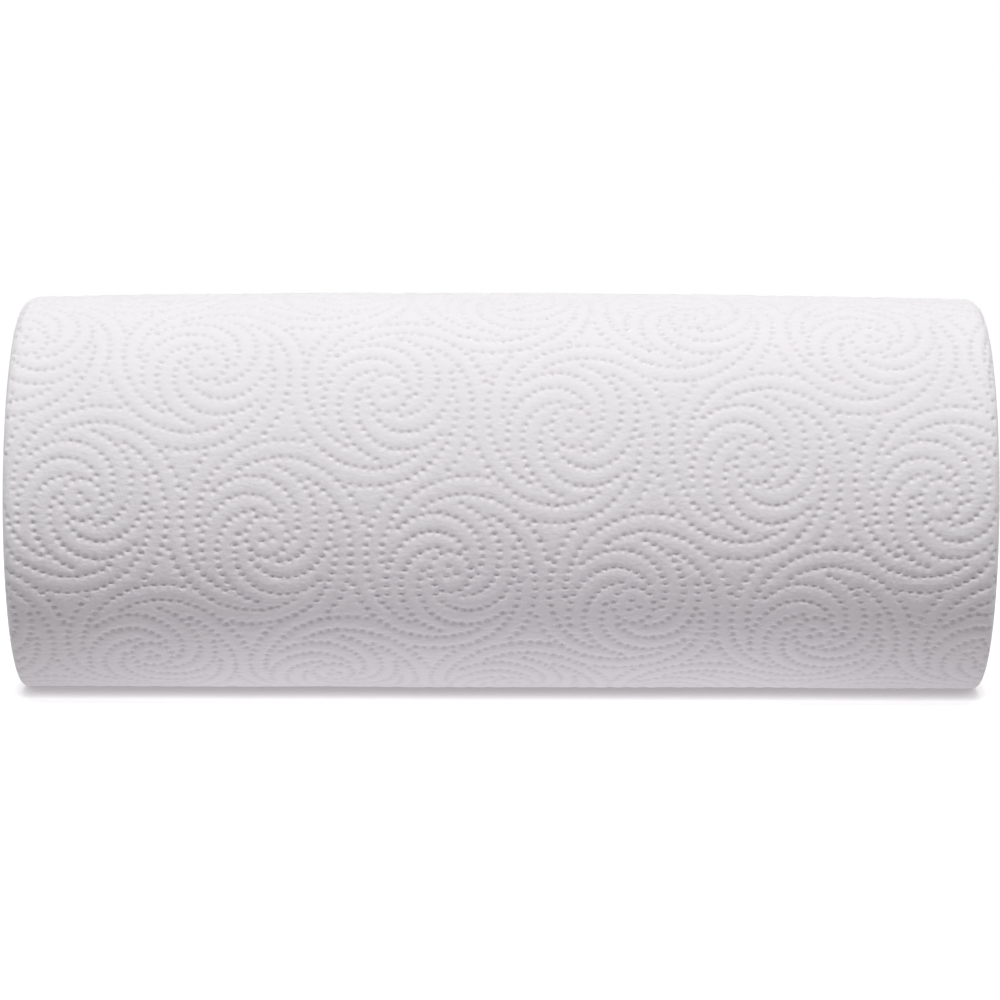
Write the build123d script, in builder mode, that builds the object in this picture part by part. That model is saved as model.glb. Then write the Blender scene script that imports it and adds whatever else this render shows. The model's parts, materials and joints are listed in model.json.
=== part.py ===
from build123d import *

import os
from math import cos, radians, sin

# A paper towel roll lying on its side: one embossed paper web wound on a cardboard core.
#
# Millimetres. The origin is the middle of the core's bore. +X runs along the roll's axis,
# +Z is up and -Y is the front. Angles about the roll are counted from the top to the back.

# Core tube: thin board wound to a tube and cut flush with the paper
core_bore = 41.0  # inside diameter
core_wall = 0.8

# Web: the paper as one wound solid
sheet_width = 279.4  # along the axis, an 11 inch sheet
roll_radius = 58.0  # at mid length, measured to the loose end
sheet_thickness = 0.45  # one two-ply sheet with its embossing
end_droop = 1.5  # how much the looser winding near the ends narrows the radius
droop_length = 65.0
rim_round = 4.5  # the soft outer edge at each end
settle = 1.0  # how far the soft roll is pressed flat where it lies
tail_angle = 125.0  # where the web's loose end lies, low at the back

# The turns as they stand out on the sawn ends, about ten real ones in each turn shown. The
# inner half of a shown turn stands back a little from the rest.
turns_shown = 6
turn_setback = 0.5
turn_facets = 32
plain_band = 1.6  # paper left whole beside the core and inside the outer edge

half_width = sheet_width / 2
core_radius = core_bore / 2 + core_wall
under_radius = roll_radius - sheet_thickness
tail_way = Vector(0, sin(radians(tail_angle)), cos(radians(tail_angle)))

with BuildPart() as core:
    with BuildSketch(Plane.YZ):
        Circle(core_radius)
        Circle(core_bore / 2, mode=Mode.SUBTRACT)
    extrude(amount=half_width, both=True)
core.part.label = "core_tube"

# The turns that stand back on one end, seen square on. They grow out from the core as the
# paper does, and the X axis points to the web's loose end.
first_turn = core_radius + plain_band
last_turn = under_radius - end_droop - rim_round - plain_band
turn_pitch = (last_turn - first_turn) / (turns_shown + 0.5)
with BuildSketch() as turns:
    with BuildLine():
        winding = [360 * k / turn_facets for k in range(turns_shown * turn_facets + 1)]
        inner_edge = [(first_turn + turn_pitch * a / 360, -a) for a in winding]
        outer_edge = [(radius + turn_pitch / 2, angle) for radius, angle in reversed(inner_edge)]
        edge = [(r * cos(radians(a)), r * sin(radians(a))) for r, a in inner_edge + outer_edge]
        Polyline(*edge, close=True)
    make_face()

with BuildPart() as web:
    # The paper grows by one sheet a turn. Its outside is two half turns about two axes, half
    # a sheet apart, and it closes with a step of one sheet at the loose end.
    step_centre = tail_way * (sheet_thickness / 2)
    for centre, radius, turn_way in [
        (Vector(0, 0, 0), under_radius, Vector(1, 0, 0)),
        (step_centre, under_radius + sheet_thickness / 2, Vector(-1, 0, 0)),
    ]:
        with BuildSketch(Plane(centre, x_dir=(1, 0, 0), z_dir=Vector(1, 0, 0).cross(tail_way))):
            with BuildLine():
                Polyline(
                    (-half_width, 0),
                    (-half_width, radius - end_droop),
                    (-half_width + droop_length, radius),
                    (half_width - droop_length, radius),
                    (half_width, radius - end_droop),
                    (half_width, 0),
                    close=True,
                )
            make_face()
            fillet(vertices().sort_by(Axis.Y)[2:4], radius=rim_round)
        revolve(axis=Axis(centre, turn_way), revolution_arc=180)

    # The core's seat
    with BuildSketch(Plane.YZ):
        Circle(core_radius)
    extrude(amount=half_width, both=True, mode=Mode.SUBTRACT)

    # The turns on each sawn end
    for end in (-1, 1):
        with BuildSketch(Plane((end * half_width, 0, 0), x_dir=tail_way, z_dir=(1, 0, 0))):
            add(turns.sketch)
        extrude(amount=-end * turn_setback, mode=Mode.SUBTRACT)

    # The flat that the soft roll lies on
    split(bisect_by=Plane.XY.offset(settle - roll_radius), keep=Keep.TOP)
web.part.label = "towel_web"

os.makedirs("parts", exist_ok=True)
export_step(core.part, "parts/core_tube.step")
export_step(web.part, "parts/towel_web.step")
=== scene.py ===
import json

import bpy
import numpy as np
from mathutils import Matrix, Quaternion, Vector
from mathutils.geometry import delaunay_2d_cdt
from mathutils.kdtree import KDTree


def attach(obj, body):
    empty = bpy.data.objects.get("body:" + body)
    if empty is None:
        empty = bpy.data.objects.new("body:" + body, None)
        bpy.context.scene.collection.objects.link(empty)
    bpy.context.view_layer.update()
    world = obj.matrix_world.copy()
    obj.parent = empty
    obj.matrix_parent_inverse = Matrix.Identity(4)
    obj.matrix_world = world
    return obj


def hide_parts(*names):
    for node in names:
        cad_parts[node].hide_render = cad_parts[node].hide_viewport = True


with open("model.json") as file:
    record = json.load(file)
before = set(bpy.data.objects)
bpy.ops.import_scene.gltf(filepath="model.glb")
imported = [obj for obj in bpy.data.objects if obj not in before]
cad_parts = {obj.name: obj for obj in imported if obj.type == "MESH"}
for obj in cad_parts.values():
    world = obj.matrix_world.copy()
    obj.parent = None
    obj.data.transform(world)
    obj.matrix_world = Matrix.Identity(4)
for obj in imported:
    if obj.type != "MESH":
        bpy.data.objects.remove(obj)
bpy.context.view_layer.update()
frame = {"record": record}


# Core tube. Two plies of grey-brown board wound at a slant and glued, which leaves a seam that
# runs round the bore as a long helix. It is sawn to length together with the paper on it.
# Lengths are in millimetres until a mesh is made.

mounts = {mount["name"]: mount for mount in frame["record"]["mounts"]}
sheet_width = mounts["core_bore"]["dims"]["length_mm"]
half_width = sheet_width / 2
bore_radius = mounts["core_bore"]["dims"]["r_mm"]
core_wall = 0.8
core_radius = bore_radius + core_wall
edge_bevel = 0.15
bevel_length = 0.12
seam_lead = 105.0
seam_depth = 0.1
seam_share = 1 / 12
core_rows = 120
core_columns = 160


def about_axis(x, angle, radius):
    """Points at a place along the roll, a radius, and an angle from its top towards the back."""
    y = radius * np.sin(angle)
    z = radius * np.cos(angle)
    return np.column_stack([x.ravel(), y.ravel(), z.ravel()])


def grid_faces(rows, columns, closed=False):
    """Four-sided faces on a grid of points, which may close on itself at the ends of its rows."""
    across = columns if closed else columns - 1
    row, column = np.meshgrid(np.arange(rows - 1), np.arange(across), indexing="ij")
    here = (row * columns + column).ravel()
    beside = (row * columns + (column + 1) % columns).ravel()
    return np.column_stack([here, here + columns, beside + columns, beside])


def piece(name, points, faces, material, node, normals=None, pressed=None):
    """Makes a smooth mesh from millimetre points, and sets it on the frame in a node's place.

    It may be given its points' normals, and how far each point is pressed into a dot."""
    mesh = bpy.data.meshes.new(name)
    mesh.from_pydata((points * 0.001).tolist(), [], faces.tolist())
    mesh.polygons.foreach_set("use_smooth", [True] * len(faces))
    if normals is not None:
        mesh.normals_split_custom_set_from_vertices(normals.tolist())
    if pressed is not None:
        mesh.attributes.new("pressed", "FLOAT", "POINT").data.foreach_set("value", pressed)
    mesh.materials.append(material)
    made = bpy.data.objects.new(name, mesh)
    bpy.context.scene.collection.objects.link(made)
    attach(made, "root")
    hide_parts(node)
    return made


class Shade:
    """A shader socket. Sums on it add Math nodes to its material."""

    def __init__(self, tree, socket=None):
        self.tree = tree
        self.socket = socket

    def node(self, kind, settings, sockets, out=0):
        """Adds a node, sets it up, feeds its sockets and gives one of its outputs, if it has any."""
        made = self.tree.nodes.new("ShaderNode" + kind)
        for name, value in settings.items():
            setattr(made, name, value)
        for name, value in sockets.items():
            if isinstance(value, Shade):
                self.tree.links.new(value.socket, made.inputs[name])
            else:
                made.inputs[name].default_value = value
        return Shade(self.tree, made.outputs[out] if made.outputs else None)

    def math(self, operation, *others):
        """One Math node with this socket first."""
        return self.node("Math", {"operation": operation}, dict(enumerate((self, *others))))

    def __add__(self, other):
        return self.math("ADD", other)

    def __sub__(self, other):
        return self.math("SUBTRACT", other)

    def __rsub__(self, other):
        return self * -1 + other

    def __mul__(self, other):
        return self.math("MULTIPLY", other)

    __radd__ = __add__
    __rmul__ = __mul__


def cleared(owner):
    """Empties the nodes of a material or a world, and gives a Shade to build them with."""
    owner.use_nodes = True
    owner.node_tree.nodes.clear()
    return Shade(owner.node_tree)


def between(start, share, first, second):
    """A colour that goes from the first to the second as the share goes from 0 to 1."""
    return start.node("Mix", {"data_type": "RGBA"}, {0: share, 6: first, 7: second}, 2)


def board(name):
    """Matt board, mottled in streaks along the tube, with the dark line of the seam in its bore."""
    light_brown = (0.56, 0.44, 0.31, 1)
    dark_brown = (0.36, 0.27, 0.18, 1)
    seam_brown = (0.13, 0.09, 0.06, 1)
    seam_strength = 0.7
    seam_line_share = 1 / 70
    mottle_height = 0.4
    fleck_height = 0.6
    made = bpy.data.materials.new(name)
    start = cleared(made)
    place = start.node("TexCoord", {}, {}, "Object")
    streaks = start.node("Mapping", {}, {"Vector": place, "Scale": (160, 700, 700)})
    mottle = start.node("TexNoise", {}, {"Vector": streaks, "Scale": 1.0, "Detail": 6.0}, "Fac")
    flecks = start.node("TexNoise", {}, {"Vector": place, "Scale": 900.0, "Detail": 3.0}, "Fac")
    across, y, z = (start.node("SeparateXYZ", {}, {"Vector": place}, axis) for axis in "XYZ")
    turns = across * (1000 / seam_lead) - y.math("ARCTAN2", z) * (1 / (2 * np.pi))
    seam = 1 - (turns.math("FRACT") * (1 / seam_line_share)).math("MINIMUM", 1)
    brown = between(start, mottle, dark_brown, light_brown)
    brown = between(start, seam * seam_strength, brown, seam_brown)
    height = mottle * mottle_height + flecks * fleck_height
    texture = start.node("Bump", {}, {"Strength": 1.0, "Distance": 0.00008, "Height": height})
    finish = {"Roughness": 0.85, "Specular IOR Level": 0.3}
    shader = start.node("BsdfPrincipled", {}, {"Base Color": brown, "Normal": texture, **finish})
    start.node("OutputMaterial", {}, {"Surface": shader})
    return made


# The section goes round the tube's two ends and its bore. The paper hides its outer face.
left_end = [
    (-half_width + bevel_length, core_radius),
    (-half_width, core_radius - edge_bevel),
    (-half_width, bore_radius + edge_bevel),
]
bore = [
    (x, bore_radius)
    for x in np.linspace(-half_width + bevel_length, half_width - bevel_length, core_rows)
]
right_end = [(-x, radius) for x, radius in reversed(left_end)]
section = np.array(left_end + bore + right_end)
row, column = np.meshgrid(np.arange(len(section)), np.arange(core_columns), indexing="ij")
tube_x = section[row, 0]
tube_radius = section[row, 1]
in_bore = tube_radius == bore_radius
past_seam = (tube_x / seam_lead - column / core_columns) % 1
tube_radius = tube_radius + in_bore * seam_depth * np.minimum(past_seam / seam_share, 1)
tube_points = about_axis(tube_x, 2 * np.pi * column / core_columns, tube_radius)
tube_faces = grid_faces(len(section), core_columns, closed=True)[:, [0, 3, 2, 1]]
piece("core_tube_board", tube_points, tube_faces, board("core_board"), "core_tube")


# Towel web, outer turn. Two soft plies of white creped paper, pressed together in a pattern of
# small round dots that swirl about evenly spaced eyes, then wound with the loose end outside.
# The roll narrows and softens towards its ends, and its weight presses it flat where it lies.

roll_radius = 58.0
sheet_thickness = 0.45
under_radius = roll_radius - sheet_thickness
girth = 2 * np.pi * (roll_radius - sheet_thickness / 2)
tail_angle = 125.0
end_droop = 1.5
droop_from = 45.0
rim_round = 4.5
rim_overlap = np.radians(76)
pressed_rim = 1.6
rest_height = mounts["rest_flat"]["pos_m"][2] * 1000
flat_blend = 0.05
slow_rise = 0.06
sheet_edge = half_width - rim_round + rim_round * rim_overlap


def droop(x):
    """How much the looser winding towards the ends narrows the radius at x."""
    reach = np.maximum(np.abs(x) - droop_from, 0) / (half_width - droop_from)
    return end_droop * reach**1.5


def settled(z):
    """The height of a point after the soft roll is pressed flat where it lies."""
    above = z - rest_height
    return rest_height + (above + np.sqrt(above**2 + flat_blend)) / 2


def unevenness(x, along):
    """The slow rise and fall of a softly wound surface, in waves some 6 to 26 cm long."""
    return (
        np.sin(x / 19 + 1.3) * np.sin(along / 14.5)
        + np.sin(x / 41 - along / 33)
        + 0.7 * np.sin(x / 9.7 + along / 11 + 2)
    )


def low_down(angle):
    """Zero at the top of the roll, and one where it rests."""
    return (1 - np.cos(angle)) / 2


def rim_at(angle):
    """The roundness of the rim, which the roll's weight squares off low down."""
    return rim_round + (pressed_rim - rim_round) * low_down(angle) ** 1.5


def wound(across, along, inset):
    """Winds points of the flat outer sheet on the roll. They sink by inset into the paper."""
    turn = along / girth
    angle = np.radians(tail_angle) - 2 * np.pi * turn
    bend = rim_at(angle)
    straight = half_width - bend
    over = np.maximum(np.abs(across) - straight, 0) / (sheet_edge - straight) * rim_overlap
    side = np.sign(across)
    x = side * (np.minimum(np.abs(across), straight) + bend * np.sin(over))
    radius = under_radius + sheet_thickness * turn - bend * (1 - np.cos(over))
    radius -= droop(x) * (1 - low_down(angle) ** 3)
    radius += slow_rise * unevenness(x, along)
    pressed = settled(radius * np.cos(angle)) - radius * np.cos(angle)
    points = about_axis(x - side * inset * np.sin(over), angle, radius - inset * np.cos(over))
    points[:, 2] += pressed
    return points


# The swirls lie on a slightly stretched triangular grid, and along counts down the front. The
# radii of a swirl are in steps of that grid, and its angles are in degrees.
swirl_step = np.array([51.52, 10.30])
swirl_rise = np.array([-9.34, 54.33])
swirl_row = swirl_step * np.cos(np.radians(120)) + swirl_rise * np.sin(np.radians(120))
first_swirl_below_top = 62.8
first_swirl = np.array([19.75, girth * (tail_angle + first_swirl_below_top) / 360])


def ring(count, radius, first):
    """Evenly spaced dots on a ring about an eye."""
    return np.full(count, radius), first + 360 / count * np.arange(count)


def arm(count, inner, outer, first, sweep, bow, ease):
    """Dots along a curved arm about an eye. Bow swells its radius, and ease bunches its dots."""
    share = np.linspace(0, 1, count)
    return inner + (outer - inner) * share * (1 + bow * (1 - share)), first + sweep * share**ease


def swirl():
    """All the dots that belong to one eye, as offsets in the flat sheet."""
    arms = (
        arm(16, inner=0.1496, outer=0.3634, first=52.5, sweep=-143.2, bow=0.5, ease=0.785),
        arm(18, inner=0.3717, outer=0.526, first=57.1, sweep=104.5, bow=-0.03, ease=0.93),
    )
    parts = [ring(3, radius=0.032, first=3), ring(14, radius=0.110, first=2)]
    parts += [(radius, angle + 60 * sixth) for sixth in range(6) for radius, angle in arms]
    radius, angle = (np.concatenate(values)[:, None] for values in zip(*parts))
    angle = np.radians(angle)
    return radius * np.cos(angle) * swirl_step + radius * np.sin(angle) * swirl_rise


sheet_start = -4.0
side_margin = 1.1
end_margin = 1.0
eyes_each_way = range(-9, 10)
eyes = np.array(
    [first_swirl + i * swirl_step + j * swirl_row for i in eyes_each_way for j in eyes_each_way]
)
dots = (eyes[:, None, :] + swirl()[None, :, :]).reshape(-1, 2)
inside = (
    (np.abs(dots[:, 0]) < sheet_edge - side_margin)
    & (dots[:, 1] > sheet_start + end_margin)
    & (dots[:, 1] < girth - end_margin)
)
dots = dots[inside]
dot_wander = 0.13
lightest_pressing = 0.72
firmest_pressing = 1.18
unequal = np.random.default_rng(11)
dots = dots + unequal.uniform(-dot_wander, dot_wander, dots.shape)
pressing = unequal.uniform(lightest_pressing, firmest_pressing, len(dots))

# Each dot is a centre and three rings of vertices. Between the dots the sheet is a loose grid.
# The pull of the winding leaves the dots a little wider than they are high.
dot_stretch = 1.18
dot_rings = ((0.30, 6), (0.70, 8), (1.15, 9))
dot_clearance = 1.35
vertices_flat = [dots]
for ring_radius, ring_count in dot_rings:
    first = unequal.uniform(0, 2 * np.pi, len(dots))
    for k in range(ring_count):
        angle = first + 2 * np.pi * k / ring_count
        offset = ring_radius * np.column_stack([dot_stretch * np.cos(angle), np.sin(angle)])
        vertices_flat.append(dots + offset)

grid_step = 1.15
row_step = grid_step * 0.866
grid_start = 0.6
grid_stop = 0.5
edge_clearance = 0.4
columns = np.arange(-sheet_edge + grid_start, sheet_edge - grid_stop, grid_step)
rows = np.arange(sheet_start + grid_start, girth - grid_stop, row_step)
grid_x, grid_along = np.meshgrid(columns, rows)
grid_x = grid_x + (np.arange(len(rows)) % 2)[:, None] * grid_step / 2
loose = np.column_stack([grid_x.ravel(), grid_along.ravel()])
loose = loose[np.abs(loose[:, 0]) < sheet_edge - edge_clearance]

dot_tree = KDTree(len(dots))
for index, (x, along) in enumerate(dots):
    dot_tree.insert((x / dot_stretch, along, 0), index)
dot_tree.balance()
nearest = np.array([dot_tree.find((x / dot_stretch, along, 0))[2] for x, along in loose])
vertices_flat.append(loose[nearest > dot_clearance])

end_points = 500
side_points = 640
end_x = np.linspace(-sheet_edge, sheet_edge, end_points)
side_along = np.linspace(sheet_start, girth, side_points)[1:-1]
for end in (sheet_start, girth):
    vertices_flat.append(np.column_stack([end_x, np.full(len(end_x), end)]))
for edge in (-sheet_edge, sheet_edge):
    vertices_flat.append(np.column_stack([np.full(len(side_along), edge), side_along]))

weld = 1e-5
flat = np.concatenate(vertices_flat)
flat = flat[(np.abs(flat[:, 0]) <= sheet_edge) & (flat[:, 1] >= sheet_start) & (flat[:, 1] <= girth)]
placed, _, triangles, *_ = delaunay_2d_cdt([Vector(p) for p in flat], [], [], 0, weld)
flat = np.array([tuple(p) for p in placed])
triangles = np.array(triangles)[:, ::-1]

dots_counted = 4
dot_distances = np.empty((len(flat), dots_counted))
nearest_dot = np.empty(len(flat), int)
for index, (x, along) in enumerate(flat):
    found = dot_tree.find_n((x / dot_stretch, along, 0), dots_counted)
    dot_distances[index] = [hit[2] for hit in found]
    nearest_dot[index] = found[0][1]


def eased(value, low, high):
    """Zero below low, one above high, and a smooth rise between them."""
    share = np.clip((value - low) / (high - low), 0, 1)
    return share * share * (3 - 2 * share)


# A dot draws the paper about it down, which leaves soft pillows between the dots.
dot_reach = 0.78
dot_depth = 0.68
pillow_height = 0.1
pinch_reach = 1.35
pinch_pull = 1.5
edge_fade = 1.5
pinch = 1 - np.exp(-pinch_pull * np.exp(-((dot_distances / pinch_reach) ** 2)).sum(axis=1))
pit = np.exp(-((dot_distances[:, 0] / dot_reach) ** 2)) * pressing[nearest_dot]
edge_free = eased(sheet_edge - np.abs(flat[:, 0]), 0, edge_fade)
relief = (pillow_height * pinch + dot_depth * pit) * edge_free

# The sheets part along lines of perforations, each of them a shallow groove here. One such line
# is a sheet's width back from the loose end.
slit_depth = 0.22
slit_half = 0.15
slit_fade = 0.9
slit_place = girth - sheet_width
slit = 1 - eased(np.abs(flat[:, 1] - slit_place), slit_half, slit_fade)
relief = relief * (1 - slit) + slit * slit_depth

# The loose end lifts a little, over the last few millimetres of the sheet.
mean_lift = 0.35
lift_length = 3.5


def lift(x):
    """How far the loose end stands off the roll at x. Dabs of glue hold parts of it lower."""
    return mean_lift * (1 + 0.6 * np.sin(x / 21))


tail_lift = lift(flat[:, 0]) * np.exp((flat[:, 1] - girth) / lift_length)
surface = wound(flat[:, 0], flat[:, 1], relief - tail_lift)


def vertex_normals(points, faces):
    """The smooth outward normal at every point of a triangle mesh."""
    a, b, c = (points[faces[:, k]] for k in range(3))
    face_normals = np.cross(b - a, c - a)
    total = np.zeros_like(points)
    for k in range(3):
        np.add.at(total, faces[:, k], face_normals)
    return total / np.maximum(np.linalg.norm(total, axis=1), 1e-12)[:, None]


def tissue(name, tone_and_shade, darkest_tone_and_shade):
    """Matt creped tissue, a faintly cool white, with fine creases along the roll, and fibres."""
    white = (0.885, 0.862, 0.886, 1)
    crepe_height = 0.75
    fibre_height = 0.12
    made = bpy.data.materials.new(name)
    start = cleared(made)
    place = start.node("TexCoord", {}, {}, "Object")
    creases = start.node("Mapping", {}, {"Vector": place, "Scale": (540, 850, 850)})
    crepe = start.node("TexNoise", {}, {"Vector": creases, "Scale": 1.0, "Detail": 2.0}, "Fac")
    fibres = start.node("TexNoise", {}, {"Vector": place, "Scale": 3500.0, "Detail": 2.0}, "Fac")
    height = crepe * crepe_height + fibres * fibre_height
    texture = start.node("Bump", {}, {"Strength": 1.0, "Distance": 0.00034, "Height": height})
    # This mix darkens the white for the paper's own tone and also for painted shade, as the given
    # function says.
    colour = between(start, tone_and_shade(start, place), darkest_tone_and_shade, white)
    finish = {"Roughness": 0.92, "Specular IOR Level": 0.2}
    shader = start.node("BsdfPrincipled", {}, {"Base Color": colour, "Normal": texture, **finish})
    start.node("OutputMaterial", {}, {"Surface": shader})
    return made


def face_tone_and_dot_shade(start, place):
    """How white the paper's face is: faintly cloudy, with painted shade in each dot, darker the
    deeper the dot is pressed.
    """
    cloudiness = 0.2
    # Painted shade: the paper is darkened in each dot's hollow, by up to this share of its white.
    painted_dot_shade = 0.24
    clouds = start.node("TexNoise", {}, {"Vector": place, "Scale": 45.0, "Detail": 2.0}, "Fac")
    pressed = start.node("Attribute", {"attribute_name": "pressed"}, {}, "Fac")
    return (1 - cloudiness) + clouds * cloudiness - pressed * painted_dot_shade


towel_paper = tissue("towel_paper", face_tone_and_dot_shade, (0.68, 0.662, 0.681, 1))

# The outer turn is one sheet. It is carried as four strips that share one set of normals.
strips = 4
normals = vertex_normals(surface, triangles)
strip_of = (flat[triangles, 1].mean(axis=1) / girth * strips).astype(int).clip(0, strips - 1)
for strip in range(strips):
    used, renumbered = np.unique(triangles[strip_of == strip], return_inverse=True)
    piece(
        f"outer_turn_{strip + 1}",
        surface[used],
        renumbered.reshape(-1, 3),
        towel_paper,
        "towel_web",
        normals[used],
        pit[used],
    )


# Towel web, loose end. The cut edge of the sheet, where it was torn off along its perforations
# and came out slightly ragged. Dabs of glue under it hold it down on the turn below.

raggedness = 0.35
ragged = raggedness * np.sin(end_x * 2.1) * np.sin(end_x * 0.83)

# Each row of points has a place along the sheet, a depth in it and a share of the end's lift.
edge_rows = ((0.0, 0.02, 1.0), (0.08, 0.22, 1.0), (-0.1, 0.5, 0.4))
tail_points = np.concatenate(
    [
        wound(end_x, girth + ragged + along, depth - lift(end_x) * share)
        for along, depth, share in edge_rows
    ]
)
tail_faces = grid_faces(len(edge_rows), len(end_x))
piece("tail_edge", tail_points, tail_faces, towel_paper, "towel_web")


# Towel web, sawn ends. The log of paper is cut square, which leaves the edge of every turn
# showing as one long spiral. It is a little uneven, with gaps where turns are wound loosely, and
# rounded off towards the outer rim.

# Each turn's edge is four rows of points, of which the first lies deep in the gap beside it.
spiral_rows = 4
spiral_columns = 240
gap_shape = np.array([1.0, 0.2, 0.0, 0.25])
tight_gap = 0.12
loose_gap = 0.6
slow_swell = 0.13
quick_swell = 0.07
even_depth = 0.2
cut_inset = 0.03
waviness = 0.1

# The spiral starts on the core's outer face, ends just under the outer turn's rim, and keeps
# inside the flat that the roll rests on.
core_lap = 0.02
rim_lap = 0.1
flat_give = 0.3
flat_inset = 0.8
least_cosine = 0.1
least_rise = 1e-4


def wave(turn):
    """How the embossed paper wanders in and out along its length, from -1 to 1."""
    length = 2 * np.pi * core_radius * turn + np.pi * sheet_thickness * turn**2
    return np.sin(length / 2.9) * np.sin(length / 9.1)


def sunk(row, turn, around, side):
    """How deep points of the sawn end lie: in the gap after each turn, and in slow swells."""
    bearing = 2 * np.pi * around
    loose = np.sin(1.7 * turn + 0.8 * np.sin(bearing)) * np.sin(0.61 * turn + side)
    gap = gap_shape[row % spiral_rows] * (tight_gap + loose_gap * np.maximum(loose, 0) ** 2)
    slow = slow_swell * np.sin(0.55 * turn + 0.5 * np.sin(bearing + side))
    quick = quick_swell * np.sin(2.4 * turn)
    return np.maximum(gap + slow + quick + even_depth, 0)


def sawn_end(side):
    """The points and faces of one end, on rows that follow the wound sheet."""
    layers = int((roll_radius - core_radius) / sheet_thickness) + 2
    row_count = layers * spiral_rows + 1
    column_count = spiral_columns + 1
    row, column = np.meshgrid(np.arange(row_count), np.arange(column_count), indexing="ij")
    around = column / spiral_columns
    angle = np.radians(tail_angle) - 2 * np.pi * around
    bend = rim_at(angle)
    rim = roll_radius - end_droop * (1 - low_down(angle) ** 3)
    to_flat = (flat_give - rest_height) / np.maximum(-np.cos(angle), least_cosine) - flat_inset
    outer = np.minimum(rim - bend * (1 - rim_lap - np.cos(rim_overlap)), to_flat)
    turn = row // spiral_rows + around
    share = row % spiral_rows / spiral_rows
    radius = core_radius + sheet_thickness * (turn + share - 1)
    radius = radius + waviness * (wave(turn) * (1 - share) + wave(turn + 1) * share)
    radius = np.clip(radius, core_radius - core_lap, outer)
    past_bend = np.maximum(radius - (rim - bend), 0)
    back = sunk(row, turn, around, side) + bend - np.sqrt(bend**2 - past_bend**2)
    points = about_axis(side * (half_width - cut_inset - back), angle, radius)
    faces = grid_faces(row_count, column_count)
    rise = radius.ravel()[faces[:, 1:3]] - radius.ravel()[faces[:, [0, 3]]]
    faces = faces[rise.min(axis=1) > least_rise]
    return points, faces if side > 0 else faces[:, ::-1]


def turn_tone_and_gap_shade(start, place):
    """Each turn's cut edge a little greyer or whiter than the next, with painted shade in the gaps
    between turns.
    """
    gap_share = 0.2
    gap_shade_level = 0.4
    tint_step = 1.9
    tint_contrast = 2.4
    tint_drop = 0.7
    y, z = (start.node("SeparateXYZ", {}, {"Vector": place}, axis) for axis in "YZ")
    radius = (y * y + z * z).math("SQRT") * 1000
    around = ((np.radians(tail_angle) - y.math("ARCTAN2", z)) * (1 / (2 * np.pi))).math("FRACT")
    layer = (radius - core_radius) * (1 / sheet_thickness) + 1 - around
    along_web = (layer.math("FLOOR") + around) * tint_step
    noise = {"W": along_web, "Detail": 2.0}
    tint = start.node("TexNoise", {"noise_dimensions": "1D"}, noise, "Fac")
    # Painted shade: the gap between each turn and the next is darkened to a share of its tone.
    gap = (layer.math("FRACT") * (1 / gap_share)).math("MINIMUM", 1)
    return (tint * tint_contrast - tint_drop) * (gap * (1 - gap_shade_level) + gap_shade_level)


sawn_edges = tissue("sawn_edges", turn_tone_and_gap_shade, (0.845, 0.822, 0.846, 1))
for side, name in ((-1, "left"), (1, "right")):
    points, faces = sawn_end(side)
    piece(f"sawn_end_{name}", points, faces, sawn_edges, "towel_web")


# Floor. A wide sheet of plain white card under the roll. The camera sees it white wherever the
# roll's shadow isn't, and it throws an even light back on the roll, stronger from close by.

floor_reach = 4.0
floor_level = rest_height * 0.001


def seen_rays(start):
    """One for the rays that show the room itself, and zero for those that only light the roll."""
    kinds = ("Is Camera Ray", "Is Glossy Ray", "Is Transmission Ray")
    return sum(start.node("LightPath", {}, {}, kind) for kind in kinds)


def glow(start, colour, strength):
    """A plain glow of one colour."""
    return start.node("Emission", {}, {"Color": colour, "Strength": strength})


def white_card(name):
    """Card that shows a soft shadow near the roll, a painted contact shadow under it, and white
    further off.
    """
    white = (1, 1, 1, 1)
    made = bpy.data.materials.new(name)
    start = cleared(made)
    place = start.node("TexCoord", {}, {}, "Object")
    under_roll = (0.0, 0, floor_level)
    distance = start.node("VectorMath", {"operation": "DISTANCE"}, {0: place, 1: under_roll}, "Value")
    matt = start.node("BsdfDiffuse", {}, {"Color": (0.75, 0.745, 0.75, 1)})
    shaded = start.node("AddShader", {}, {0: matt, 1: glow(start, white, 0.66)})
    far = start.node("MapRange", {}, {"Value": distance, "From Min": 0.25, "From Max": 0.9})
    open_floor = start.node("MixShader", {}, {0: far, 1: shaded, 2: glow(start, white, 1.0)})
    # Painted shadow: a dim pinkish glow where ambient occlusion finds the roll close, for the dark
    # line under it.
    painted_contact_shadow = glow(start, (1, 0.935, 0.98, 1), 0.405)
    sampling = {"samples": 8, "only_local": False}
    opening = start.node("AmbientOcclusion", sampling, {"Distance": 0.0057}, "AO")
    shown = start.node("MixShader", {}, {0: opening, 1: painted_contact_shadow, 2: open_floor})
    lit_near = glow(start, (1, 0.97, 1, 1), 0.775)
    lit_far = glow(start, (1, 0.985, 1, 1), 0.49)
    away = start.node("MapRange", {}, {"Value": distance, "From Min": 0.08, "From Max": 0.2})
    lit = start.node("MixShader", {}, {0: away, 1: lit_near, 2: lit_far})
    shader = start.node("MixShader", {}, {0: seen_rays(start), 1: lit, 2: shown})
    start.node("OutputMaterial", {}, {"Surface": shader})
    return made


floor_mesh = bpy.data.meshes.new("floor")
corners = [
    (x * floor_reach, y * floor_reach, floor_level) for x, y in ((-1, -1), (1, -1), (1, 1), (-1, 1))
]
floor_mesh.from_pydata(corners, [], [(0, 1, 2, 3)])
floor_mesh.materials.append(white_card("floor_white"))
floor = bpy.data.objects.new("floor", floor_mesh)
bpy.context.scene.collection.objects.link(floor)


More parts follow.
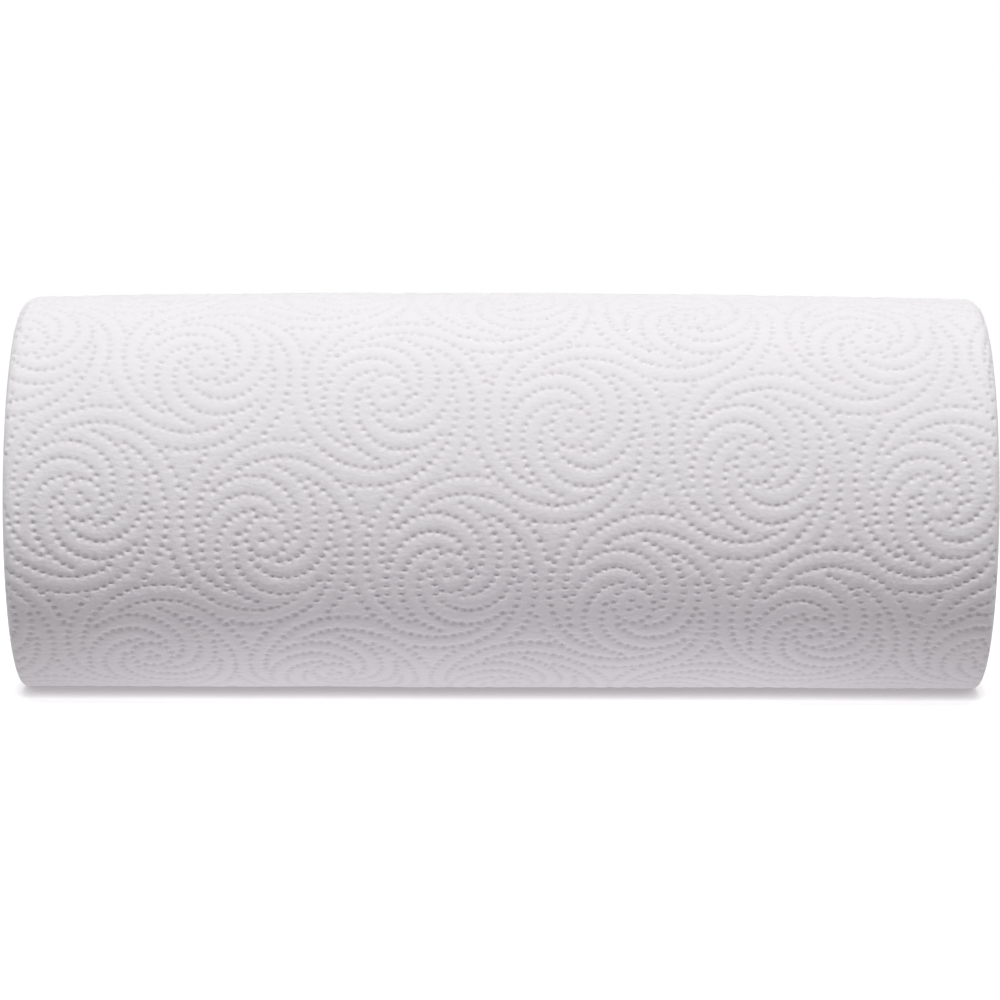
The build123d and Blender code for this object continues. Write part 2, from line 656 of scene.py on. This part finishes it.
# Light. A long softbox above and in front, a broad fill above and behind, a panel off each end,
# and a room that shows white and lights the roll hardly at all.


def softbox(name, place, long_side, short_side, power):
    """A rectangular lamp aimed at the roll, its long side level."""
    lamp = bpy.data.lights.new(name, "AREA")
    lamp.shape = "RECTANGLE"
    lamp.size = long_side
    lamp.size_y = short_side
    lamp.energy = power
    made = bpy.data.objects.new(name, lamp)
    bpy.context.scene.collection.objects.link(made)
    made.location = place
    made.rotation_euler = (-made.location).to_track_quat("-Z", "Y").to_euler()
    return made


softbox("key", (0.0, -0.65, 1.126), long_side=1.1, short_side=0.14, power=14.8)
softbox("fill", (0, 0.80, 1.147), long_side=1.8, short_side=0.9, power=5.0)
softbox("left_panel", (-1.15, 0.2, 0.3), long_side=0.9, short_side=0.9, power=3.2)
softbox("right_panel", (1.15, 0.2, 0.3), long_side=0.9, short_side=0.9, power=3.2)

world = bpy.data.worlds.new("room")
bpy.context.scene.world = world
start = cleared(world)
dim = start.node("Background", {}, {"Color": (0.97, 0.97, 1, 1), "Strength": 0.02})
bright = start.node("Background", {}, {"Color": (1, 1, 1, 1), "Strength": 1.0})
room = start.node("MixShader", {}, {0: seen_rays(start), 1: dim, 2: bright})
start.node("OutputWorld", {}, {"Surface": room})


# Camera. A long lens a little over a metre away, square to the roll and looking slightly down on
# it, with the horizon a touch out of level.

camera_distance = 1.154
camera_tilt = np.radians(9.5)
camera_roll = np.radians(0.17)
aim = Vector((-0.0003, 0, -0.0030))
camera_data = bpy.data.cameras.new("camera")
camera_data.sensor_width = 36
camera_data.lens = 141.5
camera_data.clip_start = 0.01
camera = bpy.data.objects.new("camera", camera_data)
bpy.context.scene.collection.objects.link(camera)
camera.location = (
    0,
    -camera_distance * np.cos(camera_tilt),
    camera_distance * np.sin(camera_tilt),
)
to_aim = (aim - camera.location).to_track_quat("-Z", "Y")
camera.rotation_mode = "QUATERNION"
camera.rotation_quaternion = to_aim @ Quaternion((0, 0, 1), camera_roll)
bpy.context.scene.camera = camera
bpy.context.scene.view_settings.view_transform = "Standard"
